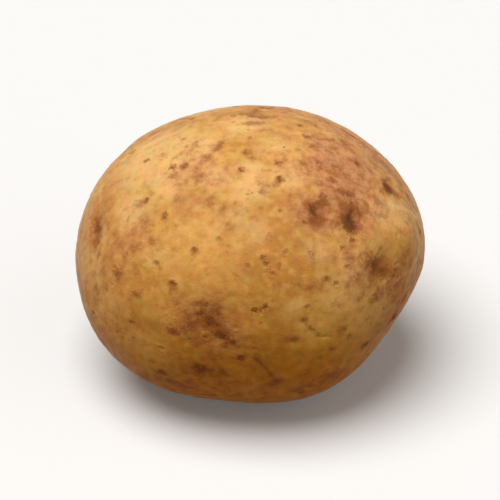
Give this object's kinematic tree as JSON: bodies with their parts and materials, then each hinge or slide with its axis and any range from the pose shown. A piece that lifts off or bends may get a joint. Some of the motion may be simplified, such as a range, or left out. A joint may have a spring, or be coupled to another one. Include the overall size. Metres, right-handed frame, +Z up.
{
  "type": "baby potato",
  "caption": "Small rounded oval baby potato with thin yellow-brown skin, shallow eyes, brown specks and a slightly flat underside that it lies on.",
  "frame": {"origin": "on the surface that the potato rests on, under the middle of its bounding box", "axes": "+Z up; +X along the longest axis towards the rose end, where the eyes crowd together; -X towards the stolon scar of the heel end"},
  "size_m": [0.0422, 0.0376, 0.0327],
  "materials": {
    "skin": "washed potato skin: satin, golden yellow with pinkish-brown russet patches and dark brown specks and eyes"
  },
  "bodies": {
    "root": {"potato": "skin"}
  },
  "joints": []
}
